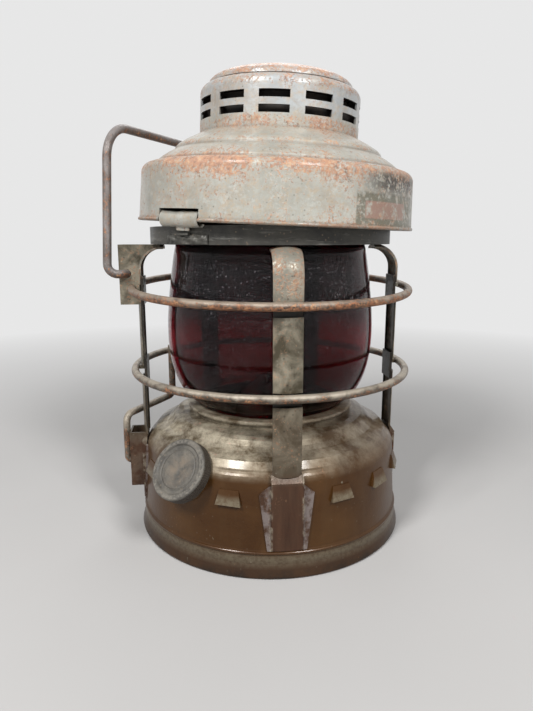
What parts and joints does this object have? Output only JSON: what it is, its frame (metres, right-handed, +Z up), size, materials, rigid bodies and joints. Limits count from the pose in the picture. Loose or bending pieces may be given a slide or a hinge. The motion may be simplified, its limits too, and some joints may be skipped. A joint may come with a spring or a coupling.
{
  "type": "kerosene lantern",
  "caption": "Wire-guarded kerosene lantern: round oil base with filler cap and wick knob, ruby glass globe in a strap and ring cage, hinged vented lid with chimney, and a side bail.",
  "frame": {"origin": "centre of the base on the table", "axes": "+Z up, the front strap towards -Y, the strap with the bail's near ear towards -X"},
  "size_m": [0.163, 0.1571, 0.2397],
  "materials": {
    "base_paint": "old dark olive enamel, glossy where rubbed, dusty in the corners",
    "frame_steel": "worn olive-grey paint with bare edges",
    "lid_steel": "worn grey paint with rust along steps and edges",
    "rusty_wire": "rusty brown wire, rubbed on top",
    "ruby_glass": "deep ruby pressed glass, dusty",
    "burner_brass": "tarnished brass",
    "cork": "cork",
    "cap_black": "matt dark grey, dished face",
    "wick_cotton": "flat woven cotton, charred tip"
  },
  "bodies": {
    "frame": {"base_shell": "base_paint", "foot_rim": "base_paint", "bottom_pan": "base_paint", "oil_tank": "base_paint", "filler_neck": "base_paint", "strap_front": "frame_steel", "strap_right": "frame_steel", "strap_rear_right": "frame_steel", "strap_rear_left": "frame_steel", "strap_left": "frame_steel", "guard_ring_upper": "rusty_wire", "guard_ring_lower": "rusty_wire", "collar": "lid_steel", "globe_clips": "lid_steel", "ear_left": "frame_steel", "ear_rear": "frame_steel", "stay_bracket": "frame_steel", "stay_wire": "rusty_wire", "gallery_ring": "frame_steel", "globe": "ruby_glass", "burner_collar": "burner_brass", "burner_body": "burner_brass", "wick_tube": "burner_brass", "burner_dome": "burner_brass", "shaft_bush": "base_paint", "collar_hinge_leaf": "lid_steel", "hinge_pin": "lid_steel", "latch_keeper": "lid_steel"},
    "washer": {"filler_washer": "cork"},
    "cap": {"filler_cap": "cap_black"},
    "bail": {"bail": "rusty_wire"},
    "wick": {"wick": "wick_cotton"},
    "knob": {"wick_shaft": "burner_brass", "wick_knob": "burner_brass"},
    "lid": {"lid_hinge_leaf": "lid_steel", "lid_shell": "lid_steel", "lid_baffle": "lid_steel", "draft_cone": "lid_steel", "chimney": "lid_steel", "crown": "lid_steel", "latch_bracket": "lid_steel", "latch_pin": "lid_steel"},
    "latch": {"latch_lever": "lid_steel"}
  },
  "joints": [
    {"name": "bail_swing", "type": "hinge", "parent": "frame", "child": "bail", "pos_m": [-0.05429, 0.03135, 0.1391], "axis": [-0.5, -0.866, 0], "range_deg": [-12, 135]},
    {"name": "lid_hinge", "type": "hinge", "parent": "frame", "child": "lid", "pos_m": [0.04808, 0.04808, 0.1596], "axis": [-0.7071, 0.7071, 0], "range_deg": [0, 105]},
    {"name": "latch_turn", "type": "hinge", "parent": "lid", "child": "latch", "pos_m": [-0.04467, -0.04749, 0.16656], "axis": [-0.7063, 0.7066, 0.0438], "range_deg": [0, 20], "stiffness_Nm_per_rad": 0.02},
    {"name": "cap_lift", "type": "slide", "parent": "frame", "child": "washer", "axis": [-0.5413, -0.6012, 0.5878], "range_m": [0, 0.0051]},
    {"name": "cap_turn", "type": "hinge", "parent": "washer", "child": "cap", "pos_m": [-0.05053, -0.05612, 0.05064], "axis": [-0.5413, -0.6012, 0.5878], "range_deg": [0, 720]},
    {"name": "knob_turn", "type": "hinge", "parent": "frame", "child": "knob", "pos_m": [-0.0055, 0, 0.0585], "axis": [0, -1, 0], "range_deg": [-90, 90]},
    {"name": "wick_slide", "type": "slide", "parent": "frame", "child": "wick", "axis": [0, 0, 1], "range_m": [-0.0064, 0.0064]}
  ],
  "couplings": [
    {"joint": "cap_lift", "follows": "cap_turn", "m_per_rad": 0.00039789},
    {"joint": "wick_slide", "follows": "knob_turn", "m_per_rad": 0.004}
  ]
}
